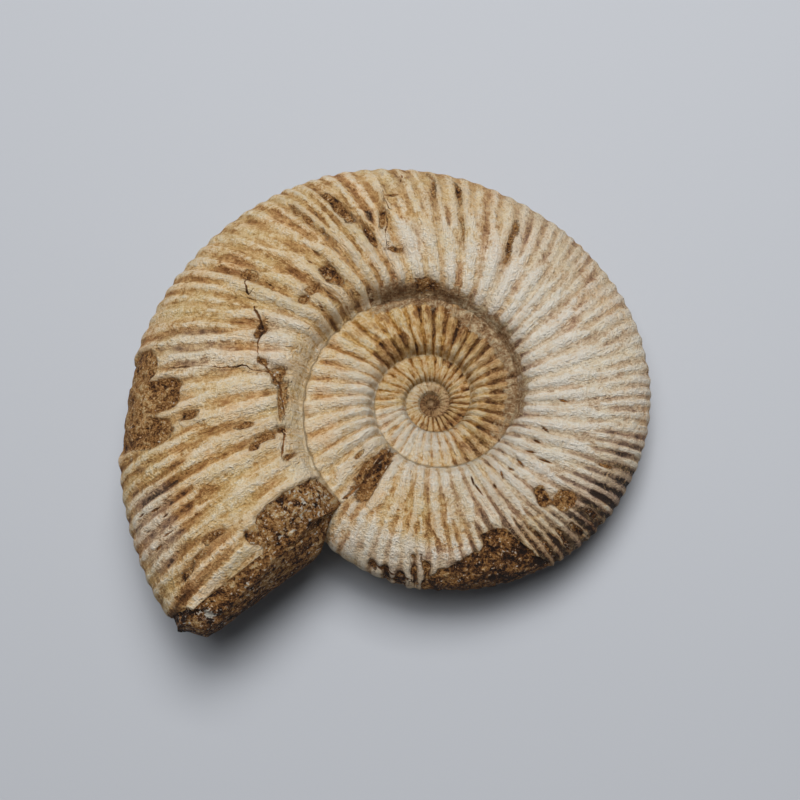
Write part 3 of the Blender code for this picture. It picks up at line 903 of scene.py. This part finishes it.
@dataclass
class Coil:
    """The coil as one closed surface.

    Columns run along the whole spiral and rows across each flank. From the second turn
    on a whorl has half the columns of the next one out, so a seam joins one edge to two.
    """

    surface: Surface
    lay: Lay
    columns: tuple[int, ...] = (85, 85, 170, 340, 680)
    upper_rows: tuple[int, int] = (32, 32)
    lower_rows: tuple[int, int] = (12, 12)
    mouth_rings: int = 22
    mouth_ease: float = 1.25
    mouth_bulge: float = 0.0046
    mouth_rough: float = 0.0007
    mouth_recess: float = 0.0065
    grain_place: tuple[float, float] = (-0.0434, -0.0437)
    grain_size: float = 0.0008
    recess_depth: float = 0.012
    venter_ease: float = 1.9
    seam_crowding: float = 0.25
    shear_late: float = math.radians(30.0)
    shear_early: float = math.radians(20.0)
    centre_share: float = 0.8
    points: list[Array] = field(default_factory=list)
    values: list[dict[str, Array]] = field(default_factory=list)
    faces: list[Array] = field(default_factory=list)
    total: int = 0

    @property
    def spiral(self) -> Spiral:
        """The coil's form."""
        return self.surface.spiral

    def column_angles(self) -> Array:
        """Angle of every column, from the middle to the mouth, evenly spaced in each turn.

        Returns:
            Angles along the coil.
        """
        angles = []
        for turn, number in enumerate(self.columns):
            first = self.spiral.end - TURN * (len(self.columns) - turn)
            angles.append(first + TURN * np.arange(number) / number)
        return np.append(np.concatenate(angles), self.spiral.end)

    def keep(self, points: Array, values: dict[str, Array]) -> Array:
        """Keep points with their values.

        Args:
            points: Points of the coil's own frame.
            values: Named values for each.

        Returns:
            Their numbers.
        """
        self.points.append(points)
        self.values.append(values)
        self.total += len(points)
        return np.arange(self.total - len(points), self.total)

    def add(self, angle: Array, share: Array, seam: float = 0.0) -> Array:
        """Add points of the surface.

        Args:
            angle: Angles along the coil.
            share: Shares from 0 to 2.
            seam: 1 for points of a seam and else 0.

        Returns:
            Point numbers, in the shape of the angles.
        """
        points, values = self.surface.shape(angle.ravel(), share.ravel(), seam)
        values["seam"] = np.full(len(points), seam)
        return self.keep(points, values).reshape(angle.shape)

    def add_free(self, points: Array, **values: float | Array) -> Array:
        """Add points off the shell.

        Args:
            points: Points of the coil's own frame.
            values: Named values, one for all points or one for each; the rest are 0.

        Returns:
            Point numbers.
        """
        names = self.values[0].keys()
        return self.keep(points, {name: np.zeros(len(points)) + values.get(name, 0.0) for name in names})

    def add_faces(self, *corners: Array, flip: bool = False) -> None:
        """Add faces, without those that have a corner twice.

        Args:
            corners: The point numbers of every face's first corner, second corner and so on.
            flip: Whether the faces turn the other way.
        """
        order = (corners[0], *corners[:0:-1]) if flip else corners
        faces = np.stack(order, axis=-1).reshape(-1, len(corners))
        apart = [faces[:, one] != faces[:, one - 1] for one in range(len(corners))]
        self.faces.append(faces[np.all(apart, axis=0)])

    def quads(self, grid: Array, flip: bool) -> None:
        """Add faces between neighbouring lines of a grid.

        Args:
            grid: Point numbers in columns and rows.
            flip: Whether the faces turn the other way.
        """
        self.add_faces(grid[:-1, :-1], grid[1:, :-1], grid[1:, 1:], grid[:-1, 1:], flip=flip)

    def sheared(self, angle: Array, share: Array) -> Array:
        """Columns moved so that they end on the break, and begin under the covered one.

        The shift is what the break's plane asks for at each share, eased in over the
        last degrees before the mouth and out over the first ones.

        Args:
            angle: Even column angles of the last whorl.
            share: Shares from 0 to 1.

        Returns:
            Moved angles.
        """
        spiral = self.spiral
        late = smoothstep(spiral.end - self.shear_late, spiral.end, angle)
        early = 1.0 - smoothstep(spiral.end - TURN, spiral.end - TURN + self.shear_early, angle)
        overlap = float(spiral.overlap(np.array([spiral.end - TURN]))[0])
        first = spiral.plane_angle(np.maximum(share, overlap), 1) - (spiral.end - TURN)
        outer = smoothstep(overlap * 0.6, overlap, share)
        return angle + late * (spiral.mouth_angle(share) - spiral.end) + early * outer * first

    def side(self, side: Side, venter: Array | None) -> tuple[Array, Array, Array]:
        """Build one flank.

        Args:
            side: Which flank.
            venter: Point numbers of the venter if the other flank has made them.

        Returns:
            Point numbers of the venter, of the break's edge and of the covered line,
            the last two from the seam outwards.
        """
        inner, outer = self.upper_rows if side is Side.UPPER else self.lower_rows
        flip = side is Side.LOWER
        angles = self.column_angles()
        last = len(angles) - 1 - self.columns[-1]
        turn_one = self.columns[0]
        overlap = self.spiral.overlap(angles)

        def wrapped(share: Array) -> Array:
            """Shares that run on over the venter.

            Args:
                share: Shares of the whorl's height.

            Returns:
                Shares from 0 to 2.
            """
            return share if side is Side.UPPER else 2.0 - share

        # The seam of each outer whorl lies on the whorl before.
        on_before = np.arange(len(angles)) >= turn_one
        seam_angle = np.where(on_before, angles - TURN, angles)
        seam_share = np.where(on_before, self.spiral.overlap(angles - TURN), 0.0)
        seam = self.add(seam_angle, wrapped(seam_share), 1.0)
        rows = np.arange(1, inner)
        share = (rows[None, :] / inner) * overlap[:, None]
        share = share * (1.0 - self.seam_crowding * (1.0 - rows[None, :] / inner))
        angle = np.repeat(angles[:, None], inner - 1, axis=1)
        angle[last:] = self.sheared(angle[last:], share[last:])
        flank = np.column_stack((seam, self.add(angle, wrapped(share))))
        self.quads(flank, flip)
        # From the overlap out, only the last whorl shows.
        steps = np.arange(0, outer + 1) / outer
        outer_share = 1.0 - (1.0 - overlap[last:, None]) * (1.0 - steps[None, :]) ** self.venter_ease
        outer_angle = np.repeat(angles[last:, None], outer + 1, axis=1)
        outer_angle = self.sheared(outer_angle, outer_share)
        if venter is None:
            belt = self.add(outer_angle, wrapped(outer_share))
            venter = belt[:, -1]
        else:
            belt = self.add(outer_angle[:, :-1], wrapped(outer_share[:, :-1]))
            belt = np.column_stack((belt, venter))
        belt[0, 0] = seam[-1]
        self.quads(np.column_stack((flank[last:, -1], belt)), flip)
        self.join_seams(flank[:, -1], seam, last, turn_one, flip)
        middle = np.array([[0.0, 0.0, self.centre_level(side)]])
        centre = self.add_free(middle, stain=1.3, deep=1.0, rib=0.5)
        rim = np.concatenate((seam[:turn_one + 1], flank[0, 1:][::-1], seam[:1]))
        self.add_faces(rim[:-1], rim[1:], np.repeat(centre, len(rim) - 1), flip=flip)
        return venter, np.concatenate((flank[-1], belt[-1])), belt[0]

    def centre_level(self, side: Side) -> float:
        """Level of the middle: a little less than that of the innermost whorl.

        Args:
            side: Which flank.

        Returns:
            Level in the coil's own frame.
        """
        height = float(self.spiral.height(self.column_angles()[:1])[0])
        return side.value * self.centre_share * self.spiral.half_thickness * height

    def join_seams(self, edge: Array, seam: Array, last: int, first: int, flip: bool) -> None:
        """Join each inner whorl's outermost row to the seam that lies on it.

        The first two turns have the same number of columns, and from there on each turn
        has twice as many as the one inside it.

        Args:
            edge: Point numbers of the outermost row that shows.
            seam: Point numbers of the seam.
            last: Number of columns before the last whorl.
            first: Number of columns of the first turn.
            flip: Whether the faces turn the other way.
        """
        self.quads(np.stack((edge[:first + 1], seam[first:2 * first + 1]), axis=1), flip)
        two = np.arange(first, last)
        a, b = edge[two], edge[two + 1]
        c, d, e = seam[2 * two], seam[2 * two + 1], seam[2 * two + 2]
        for corners in ((a, d, c), (a, b, d), (b, e, d)):
            self.add_faces(*corners, flip=flip)

    def mouth(self, edge: Array, covered: Array) -> None:
        """Close the broken mouth.

        Rings run from the shell's edge in to the covered whorl: each point is a mix of
        the two, pushed out by a squared sine along the ring and by rough noise.

        Args:
            edge: Point numbers round the break, from seam to seam.
            covered: Point numbers round the covered whorl, from seam to seam.
        """
        points = np.concatenate(self.points)
        way = self.spiral.mouth_direction
        normal = np.array((-math.sin(way), math.cos(way), 0.0))
        outer = points[edge]
        inner_at = np.linspace(0.0, len(covered) - 1.0, len(edge))
        number = np.arange(len(covered))
        inner = np.stack([np.interp(inner_at, number, points[covered, axis]) for axis in range(3)], axis=-1)
        length = np.append(0.0, np.cumsum(np.linalg.norm(np.diff(outer, axis=0), axis=1)))
        middle = np.sin(math.pi * length / length[-1])[:, None]
        noise = self.surface.noise
        previous = edge
        for ring in range(1, self.mouth_rings):
            depth = (ring / self.mouth_rings) ** self.mouth_ease
            place = (1.0 - depth) * outer + depth * inner
            rough = noise.cloud(place, 0.003, 3)[:, None]
            out = self.mouth_bulge * middle * float(smoothstep(0.0, 0.14, np.array(depth)))
            out = out - self.mouth_recess * np.clip(-place[:, 2:] / self.recess_depth, 0.0, 1.0)
            place = place + normal * middle * (out + self.mouth_rough * rough * min(1.0, 6.0 * depth))
            place, ridge = place[1:-1], middle[1:-1, 0]
            # Low down the stone is painted darker as shade under the overhang; it is also darker towards
            # the venter, and holds one large white grain.
            dark = 0.15 + 0.9 * np.clip(-place[:, 2] / 0.01, 0.0, 1.0)
            dark = dark + 0.7 * (1.0 - depth) * smoothstep(0.86, 0.99, ridge)
            off = np.sum((place[:, :2] - self.grain_place) ** 2, axis=1) / self.grain_size ** 2
            spot = np.exp(-off) * (place[:, 2] > 0.0)
            numbers = self.add_free(place, bare=3.0, crack=NO_CRACK, mouth=0.35, dark=dark, spot=spot)
            line = np.concatenate((edge[:1], numbers, edge[-1:]))
            self.add_faces(previous[:1], previous[1:2], line[1:2])
            self.add_faces(previous[1:-2], previous[2:-1], line[2:-1], line[1:-2])
            self.add_faces(previous[-2:-1], previous[-1:], line[-2:-1])
            previous = line
        # The innermost ring has two edges to each one of the covered whorl's line.
        a, b, c = previous[:-2:2], previous[1:-1:2], previous[2::2]
        d, e = covered[:-1], covered[1:]
        for corners in ((a, b, d), (b, e, d), (b, c, e)):
            self.add_faces(*corners)

    def mesh(self) -> bpy.types.Mesh:
        """Make the mesh from the points in use, with the named values as attributes.

        Returns:
            The mesh, its faces turned outwards.
        """
        used = np.unique(np.concatenate([faces.ravel() for faces in self.faces]))
        number = np.zeros(self.total, dtype=int)
        number[used] = np.arange(len(used))
        points = self.lay.place(np.concatenate(self.points)[used])
        faces = [face for group in self.faces for face in number[group].tolist()]
        mesh = bpy.data.meshes.new("fossil_shell")
        mesh.from_pydata(points.tolist(), [], faces)
        for name in self.values[0]:
            layer = mesh.attributes.new(name, "FLOAT", "POINT")
            joined = np.concatenate([values[name] for values in self.values])[used]
            layer.data.foreach_set("value", joined.astype(np.float32))
        mesh.shade_smooth()
        mesh.validate()
        turned = bmesh.new()
        turned.from_mesh(mesh)
        bmesh.ops.recalc_face_normals(turned, faces=turned.faces)
        turned.to_mesh(mesh)
        turned.free()
        return mesh

    def open_edges(self) -> int:
        """Count the edges that don't have exactly two faces.

        Returns:
            Their number, 0 for a closed surface.
        """
        rings = [np.stack((faces, np.roll(faces, -1, axis=1)), axis=-1) for faces in self.faces]
        edges = np.concatenate([ring.reshape(-1, 2) for ring in rings])
        counts = np.unique(np.sort(edges, axis=1), axis=0, return_counts=True)[1]
        return int(np.count_nonzero(counts != 2))

    def build(self) -> bpy.types.Object:
        """Build both flanks and the mouth as one piece.

        Returns:
            The piece.
        """
        venter, upper_edge, upper_covered = self.side(Side.UPPER, None)
        _, lower_edge, lower_covered = self.side(Side.LOWER, venter)
        edge = np.concatenate((upper_edge, lower_edge[::-1][1:]))
        covered = np.concatenate((upper_covered, lower_covered[::-1][1:]))
        self.mouth(edge, covered)
        thing = bpy.data.objects.new("fossil_shell", self.mesh())
        bpy.context.scene.collection.objects.link(thing)
        thing.data.calc_loop_triangles()
        triangles = len(thing.data.loop_triangles)
        LOG.info("fossil_shell: %d triangles, %d open edges", triangles, self.open_edges())
        return thing


def linear(red: int, green: int, blue: int) -> Colour:
    """Turn screen values into the linear colour that a shader takes.

    Args:
        red: Red from 0 to 255.
        green: Green from 0 to 255.
        blue: Blue from 0 to 255.

    Returns:
        Shares from 0 to 1: the screen's value over 12.92 in the dark, and else a power of 2.4.
    """
    shares = np.array((red, green, blue)) / 255.0
    lit = np.where(shares <= 0.04045, shares / 12.92, ((shares + 0.055) / 1.055) ** 2.4)
    return tuple(float(share) for share in lit)


@dataclass
class NodeNet:
    """Short ways to add nodes to a node tree. Where they take a socket, a number does too."""

    tree: bpy.types.NodeTree

    def node(self, kind: str, inputs: dict | None = None, **settings: object) -> bpy.types.Node:
        """Add a node.

        Args:
            kind: The node's type.
            inputs: Values or sockets, by input name or number.
            settings: The node's own settings.

        Returns:
            The node.
        """
        made = self.tree.nodes.new(kind)
        for name, value in settings.items():
            setattr(made, name, value)
        for name, value in (inputs or {}).items():
            if isinstance(value, bpy.types.NodeSocket):
                self.tree.links.new(value, made.inputs[name])
            else:
                made.inputs[name].default_value = value
        return made

    def value(self, name: str) -> Socket:
        """Read one of the mesh's named values."""
        return self.node("ShaderNodeAttribute", attribute_name=name).outputs["Fac"]

    def math(self, operation: str, first: object, second: object = 0.0) -> Socket:
        """Combine two numbers."""
        return self.node("ShaderNodeMath", {0: first, 1: second}, operation=operation).outputs[0]

    def times(self, first: object, second: object) -> Socket:
        """Product of two numbers."""
        return self.math("MULTIPLY", first, second)

    def rest(self, share: object) -> Socket:
        """What a share leaves of 1."""
        return self.math("SUBTRACT", 1.0, share)

    def add(self, *terms: object) -> Socket:
        """Sum of the terms.

        Args:
            terms: Sockets or numbers, or pairs of one and its factor.

        Returns:
            The sum.
        """
        total = None
        for term in terms:
            part = self.times(*term) if isinstance(term, tuple) else term
            total = part if total is None else self.math("ADD", total, part)
        return total

    def step(self, value: object, low: float, high: float) -> Socket:
        """Smooth step from 0 at low to 1 at high."""
        inputs = {"Value": value, "From Min": low, "From Max": high}
        return self.node("ShaderNodeMapRange", inputs, interpolation_type="SMOOTHSTEP").outputs[0]

    def mask(self, low: float, high: float, *terms: object) -> Socket:
        """Smooth step of a sum.

        Args:
            low: Sum where it is 0.
            high: Sum where it is 1.
            terms: Sockets or numbers, or pairs of one and its factor.

        Returns:
            The share from 0 to 1.
        """
        return self.step(self.add(*terms), low, high)

    def mix(self, share: object, first: object, second: object) -> Socket:
        """Mix two colours.

        Args:
            share: Share of the second colour.
            first: Socket, or red, green and blue.
            second: Socket, or red, green and blue.

        Returns:
            The mixed colour.
        """
        colours = [(*colour, 1.0) if isinstance(colour, tuple) else colour for colour in (first, second)]
        inputs = {0: share, 6: colours[0], 7: colours[1]}
        return self.node("ShaderNodeMix", inputs, data_type="RGBA").outputs[2]

    def ramp(self, value: object, stops: Stops) -> Socket:
        """Colour by value along a ramp.

        Args:
            value: Where on the ramp, from 0 to 1.
            stops: Places on the ramp with their colours.

        Returns:
            The colour.
        """
        made = self.node("ShaderNodeValToRGB", {"Fac": value})
        elements = made.color_ramp.elements
        while len(elements) < len(stops):
            elements.new(0.5)
        for element, (place, colour) in zip(elements, stops):
            element.position = place
            element.color = (*colour, 1.0)
        return made.outputs["Color"]

    def noise(self, where: object, size: float, detail: float, rough: float) -> Socket:
        """Noise round 0, about -1 to 1.

        Args:
            where: Place to read it at.
            size: Size of its features.
            detail: Number of finer layers.
            rough: Strength of each finer layer over the last.

        Returns:
            The noise.
        """
        inputs = {"Vector": where, "Scale": 1.0 / size, "Detail": detail, "Roughness": rough}
        made = self.node("ShaderNodeTexNoise", inputs, noise_dimensions="3D")
        return self.times(self.math("SUBTRACT", made.outputs["Fac"], 0.5), 3.0)


class Surroundings:
    """What the finish reads at a point: the surface's named values, and noises round 0.

    Streak, hair and patchy are drawn out along the ribs; the others are even.
    """

    def __init__(self, net: NodeNet) -> None:
        """Add the nodes that read them.

        Args:
            net: Net to add nodes to.
        """
        self.rib, self.share, self.count = net.value("rib"), net.value("share"), net.value("count")
        self.stain, self.ochre = net.value("stain"), net.value("ochre")
        self.chalk, self.sand = net.value("chalk"), net.value("sand")
        self.dark, self.earth, self.mouth = net.value("dark"), net.value("earth"), net.value("mouth")
        self.bare, self.inner, self.deep = net.value("bare"), net.value("inner"), net.value("deep")
        self.seam, self.spot = net.value("seam"), net.value("spot")
        self.crack, self.near, self.pit = net.value("crack"), net.value("near"), net.value("pit")
        self.crest = net.times(self.rib, net.rest(net.times(self.inner, 0.7)))
        self.where = net.node("ShaderNodeTexCoord").outputs["Object"]
        along = net.node("ShaderNodeCombineXYZ", {0: self.count, 1: self.share}).outputs[0]
        longer = net.node("ShaderNodeCombineXYZ", {0: self.count, 1: net.times(self.share, 3.0)}).outputs[0]
        self.broad = net.noise(self.where, 0.010, 3.0, 0.55)
        self.blotch = net.noise(self.where, 0.0036, 4.0, 0.65)
        self.fine = net.noise(self.where, 0.0012, 5.0, 0.75)
        self.grain = net.noise(self.where, 0.00045, 3.0, 0.7)
        self.flake = net.noise(self.where, 0.006, 4.0, 0.5)
        self.needle = net.noise(self.where, 0.0009, 1.0, 0.5)
        self.streak = net.noise(along, 0.2, 4.0, 0.6)
        self.hair = net.noise(along, 0.06, 3.0, 0.6)
        self.patchy = net.noise(longer, 0.9, 4.0, 0.65)


@dataclass(frozen=True)
class FossilStone:
    """Worn limestone shell over brown sparry stone, each a ramp of colours from dark to pale."""

    name: str = "fossil_stone"
    shell: Stops = (
        (0.0, linear(52, 34, 18)), (0.16, linear(110, 76, 44)), (0.32, linear(162, 124, 80)),
        (0.46, linear(202, 166, 116)), (0.62, linear(228, 204, 164)), (0.84, linear(238, 228, 208)),
    )
    stone: Stops = (
        (0.0, linear(40, 22, 9)), (0.25, linear(98, 60, 28)), (0.5, linear(166, 114, 60)),
        (0.75, linear(202, 152, 92)), (1.0, linear(224, 192, 142)),
    )
    earth: Stops = (
        (0.0, linear(66, 42, 22)), (0.35, linear(140, 102, 66)), (0.65, linear(176, 140, 100)),
        (1.0, linear(212, 190, 154)),
    )
    fleck: Colour = linear(236, 228, 212)
    roughness: float = 0.82
    specular: float = 0.28
    crystals_a_metre: float = 1150.0

    def shell_colour(self, net: NodeNet, at: Surroundings, dirty: Socket) -> Socket:
        """Colour of the shell: pale on the crests, brown and with painted shade in the grooves, with
        stains, painted shade and specks.

        Args:
            net: Net to add nodes to.
            at: What is read at the point.
            dirty: Share of brown blots.

        Returns:
            The colour.
        """
        # Grooves are browner and darker: ochre earth in them, and painted shade in their hollows.
        groove = net.rest(net.mask(0.05, 0.62, at.rib, (at.blotch, 0.35), (at.fine, 0.3), (at.streak, 0.2)))
        gate = net.mask(-0.4, 0.4, at.patchy, (at.blotch, 0.5), (at.ochre, 0.1), (at.chalk, 0.1),
                        (at.stain, 0.4), (at.sand, -0.1))
        # Stain, and painted shade where the stain tints stand for it.
        stain_and_shade_mask = net.mask(0.3, 0.75, at.stain, (at.blotch, 0.7), (at.patchy, 0.4), (at.fine, 0.35),
                           (at.crest, -0.4))
        warm = net.mask(0.1, 1.1, at.ochre, (at.broad, 0.4), (at.blotch, 0.5), (at.streak, 0.3))
        depth = net.add(0.08, (gate, 0.22), (at.inner, -0.03), (net.times(at.dark, gate), 0.25))
        depth = net.times(net.times(groove, depth), net.add(1.0, (at.deep, -0.8)))
        tone = net.add(0.735, (depth, -1.0), (at.blotch, 0.16), (at.streak, 0.14), (at.hair, 0.09),
                       (at.fine, 0.22), (at.grain, 0.14), (stain_and_shade_mask, -0.22),
                       (net.times(stain_and_shade_mask, at.dark), -0.2), (dirty, -0.17), (warm, -0.1), (at.chalk, 0.03),
                       (at.sand, -0.075))
        pale = net.mask(0.1, 0.9, at.chalk, (at.broad, 0.4), (at.blotch, 0.4), (at.rib, 0.2))
        hue = net.add(0.497, (at.patchy, -0.012), (at.broad, 0.008))
        strength = net.add(1.03, (at.ochre, 0.07), (at.inner, 0.06), (net.times(pale, 0.6), -0.45),
                           (stain_and_shade_mask, -0.08))
        inputs = {"Hue": hue, "Saturation": strength, "Color": net.ramp(tone, self.shell)}
        shell = net.node("ShaderNodeHueSaturation", inputs).outputs[0]
        # The seam's ridge is clean where neither stain nor painted shade reaches it.
        clean = net.times(at.seam, net.rest(net.math("MINIMUM", at.stain, 1.0)))
        ridge = net.ramp(net.add(0.56, (at.fine, 0.3), (at.inner, -0.06)), self.shell)
        shell = net.mix(net.times(clean, 0.7), shell, ridge)
        # Specks of earth caught in the shell.
        speck = net.mask(0.3, 0.55, (at.fine, 0.6), (at.grain, 0.45), (at.blotch, 0.35), (at.rib, -0.2),
                         (at.stain, 0.2), (at.sand, 0.32))
        return net.mix(net.times(speck, 0.5), shell, net.ramp(net.add(0.3, (at.grain, 0.3)), self.shell))

    def stone_colour(self, net: NodeNet, at: Surroundings, sparkle: Socket) -> Socket:
        """Colour of the stone where the shell is gone: brown grains with pale flecks and needles.

        Args:
            net: Net to add nodes to.
            at: What is read at the point.
            sparkle: Value round 0 of each crystal.

        Returns:
            The colour.
        """
        spar = net.times(sparkle, net.add(0.4, (at.mouth, 0.5), (at.dark, 0.2)))
        # The dark value lowers the tone: darker stone, and painted shade low on the mouth's face.
        tone = net.add(0.54, (at.fine, 0.65), (at.blotch, 0.5), spar, (at.grain, 0.5), (at.broad, 0.2),
                       (at.dark, -0.36), (at.mouth, -0.01))
        flecks = net.mask(0.38, 0.5, (at.grain, 0.6), (at.fine, 0.5), (at.mouth, 0.18), (at.dark, 0.1),
                          at.spot)
        stone = net.mix(flecks, net.ramp(tone, self.stone), self.fleck)
        needles = net.mask(0.66, 0.76, at.needle, (at.mouth, 0.3), at.spot)
        return net.mix(net.times(needles, 0.8), stone, self.fleck)

    def make(self) -> bpy.types.Material:
        """Build the finish: shell, earth in the seam, bare stone, then cracks and slits.

        Returns:
            The material.
        """
        material = bpy.data.materials.new(self.name)
        material.use_nodes = True
        material.node_tree.nodes.clear()
        net = NodeNet(material.node_tree)
        at = Surroundings(net)
        dirty = net.mask(0.32, 0.48, (at.patchy, 0.7), (at.blotch, 0.6), (at.fine, 0.45), (at.ochre, 0.2),
                         (at.crest, -0.15), (at.inner, 0.08), (at.chalk, -0.06))
        shell = self.shell_colour(net, at, dirty)
        # Earth stuck in the seam.
        soil = net.add(0.68, (at.fine, 0.7), (at.blotch, 0.5), (at.grain, 0.3), (at.streak, 0.2),
                       (at.dark, -0.3))
        soiled = net.mask(0.36, 0.66, at.earth, (at.fine, 0.4), (at.blotch, 0.5))
        shell = net.mix(soiled, shell, net.ramp(soil, self.earth))
        # Round each place of bare stone the shell is browner, and in parts its edge is darkened by painted
        # shadow.
        halo = net.mask(-1.3, 0.1, at.bare, (at.blotch, 1.6), (at.fine, 1.0))
        shell = net.mix(net.times(halo, 0.3), shell, net.ramp(net.add(0.4, (at.fine, 0.4)), self.shell))
        crystals = {"Vector": at.where, "Scale": self.crystals_a_metre, "Randomness": 1.0}
        cells = net.node("ShaderNodeTexVoronoi", crystals)
        sparkle = net.math("SUBTRACT", cells.outputs["Color"], 0.5)
        edge = net.add(at.bare, (at.fine, 0.4), (at.blotch, 0.3), (at.grain, 0.15))
        gone = net.step(edge, -0.1, 0.2)
        colour = net.mix(gone, shell, self.stone_colour(net, at, sparkle))
        # Painted shadow along the edge of the bare stone, as of the step down to it.
        rim = net.rest(net.step(net.math("ABSOLUTE", net.add(edge, -0.1)), 0.0, 0.2))
        rim = net.times(rim, net.mask(-0.2, 0.5, at.blotch, (at.dark, 0.3)))
        colour = net.mix(net.times(rim, 0.7), colour, self.stone[0][1])
        # Cracks and slits fill with dark earth.
        off = net.math("ABSOLUTE", at.crack)
        split = net.times(net.rest(net.mask(0.5, 1.3, off, (at.fine, 0.8), (at.blotch, 0.9))), at.near)
        hole = net.mask(0.3, 0.7, at.pit, (at.fine, 0.3))
        filled = net.ramp(net.add(0.32, (at.fine, 0.5), (at.blotch, 0.4)), self.stone)
        colour = net.mix(net.math("MAXIMUM", split, hole), colour, filled)
        # Fine relief, as heights in metres.
        relief = net.add((at.fine, 0.00036), (at.grain, 0.00022), (at.streak, 0.00022), (at.hair, 0.00012),
                         (at.blotch, 0.00022), (net.step(at.flake, -0.02, 0.03), 0.00008), (soiled, 0.0001),
                         (net.times(soiled, at.fine), 0.0004),
                         (net.times(gone, net.add(sparkle, (at.fine, 0.8))), 0.0008),
                         (dirty, -0.00014), (net.math("ADD", split, hole), -0.0002))
        bump = net.node("ShaderNodeBump", {"Height": relief, "Distance": 1.0, "Strength": 1.0})
        shader = net.node("ShaderNodeBsdfPrincipled", {
            "Base Color": colour, "Roughness": self.roughness, "Normal": bump.outputs[0],
            "Specular IOR Level": self.specular})
        net.node("ShaderNodeOutputMaterial", {"Surface": shader.outputs[0]})
        return material


@dataclass(frozen=True)
class FloorPaint:
    """Plain pale floor."""

    name: str = "floor_pale"
    colour: Colour = linear(176, 179, 185)
    roughness: float = 0.9

    def make(self) -> bpy.types.Material:
        """Build the finish.

        Returns:
            The material.
        """
        material = bpy.data.materials.new(self.name)
        material.use_nodes = True
        shader = material.node_tree.nodes["Principled BSDF"]
        shader.inputs["Base Color"].default_value = (*self.colour, 1.0)
        shader.inputs["Roughness"].default_value = self.roughness
        return material


@dataclass(frozen=True)
class AreaLight:
    """A soft light: where it hangs, its size in metres and its power in watts."""

    name: str
    place: tuple[float, float, float]
    size: float
    power: float
    colour: Colour = (1.0, 1.0, 1.0)


@dataclass
class Studio:
    """Floor, lights and camera."""

    lay: Lay
    elevation: float = math.radians(74.5)
    distance: float = 0.2496
    lens: float = 54.0
    aim: tuple[float, float] = (-31.5, -4.9)
    millimetres_a_pixel: float = 0.208
    lights: tuple[AreaLight, ...] = (
        AreaLight("key_light", (0.07, 0.25, 0.62), 0.32, 3.4, (1.0, 0.99, 0.975)),
        AreaLight("top_light", (-0.07, 0.18, 0.9), 0.5, 4.0, (0.98, 0.99, 1.0)),
    )
    ambient: float = 0.08
    ambient_colour: Colour = (0.92, 0.96, 1.0)
    half_floor: float = 3.0

    def floor(self) -> bpy.types.Object:
        """Lay a level square under the coil.

        Returns:
            The floor.
        """
        mesh = bpy.data.meshes.new("studio_floor")
        half = self.half_floor
        corners = [(-half, -half, 0.0), (half, -half, 0.0), (half, half, 0.0), (-half, half, 0.0)]
        mesh.from_pydata(corners, [], [(0, 1, 2, 3)])
        mesh.materials.append(FloorPaint().make())
        thing = bpy.data.objects.new("studio_floor", mesh)
        bpy.context.scene.collection.objects.link(thing)
        return thing

    def light(self) -> None:
        """Hang soft lights aimed at the coil, in an even pale surround."""
        for light in self.lights:
            data = bpy.data.lights.new(light.name, "AREA")
            data.size = light.size
            data.energy = light.power
            data.color = light.colour
            thing = bpy.data.objects.new(light.name, data)
            thing.location = light.place
            thing.rotation_euler = Vector(light.place).to_track_quat("Z", "Y").to_euler()
            bpy.context.scene.collection.objects.link(thing)
        world = bpy.data.worlds.new("surround")
        world.use_nodes = True
        ground = world.node_tree.nodes["Background"]
        ground.inputs["Color"].default_value = (*self.ambient_colour, 1.0)
        ground.inputs["Strength"].default_value = self.ambient
        bpy.context.scene.world = world
        bpy.context.scene.view_settings.view_transform = "Standard"

    def camera(self) -> None:
        """Set the camera above the coil, looking square to its own right-hand axis."""
        sine, cosine = math.sin(self.elevation), math.cos(self.elevation)
        right, up, back = Vector((1, 0, 0)), Vector((0, sine, cosine)), Vector((0, -cosine, sine))
        scale = self.millimetres_a_pixel / 1000.0
        offset = back * self.distance + right * self.aim[0] * scale - up * self.aim[1] * scale
        view = Matrix((right, up, back)).transposed().to_4x4()
        data = bpy.data.cameras.new("camera")
        data.lens = self.lens
        data.sensor_width = 36.0
        data.clip_start = 0.01
        thing = bpy.data.objects.new("camera", data)
        thing.matrix_world = self.lay.matrix @ Matrix.Translation(offset) @ view
        bpy.context.scene.collection.objects.link(thing)
        bpy.context.scene.camera = thing


@dataclass
class Fossil:
    """The whole object."""

    lay: Lay = field(default_factory=Lay)

    def build(self) -> bpy.types.Object:
        """Make the shell, finish it and let it stand for the CAD node.

        Returns:
            The shell.
        """
        spiral = Spiral()
        coil = Coil(Surface(spiral, Ribs(spiral)), self.lay)
        shell = coil.build()
        shell.data.materials.append(FossilStone().make())
        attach(shell, "root")
        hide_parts("ammonite")
        return shell


def main() -> None:
    """Build the fossil, its floor, lights and camera."""
    logging.basicConfig(level=logging.INFO, format="%(name)s: %(message)s")
    fossil = Fossil()
    fossil.build()
    studio = Studio(fossil.lay)
    studio.floor()
    studio.light()
    studio.camera()


if __name__ == "__main__":
    main()
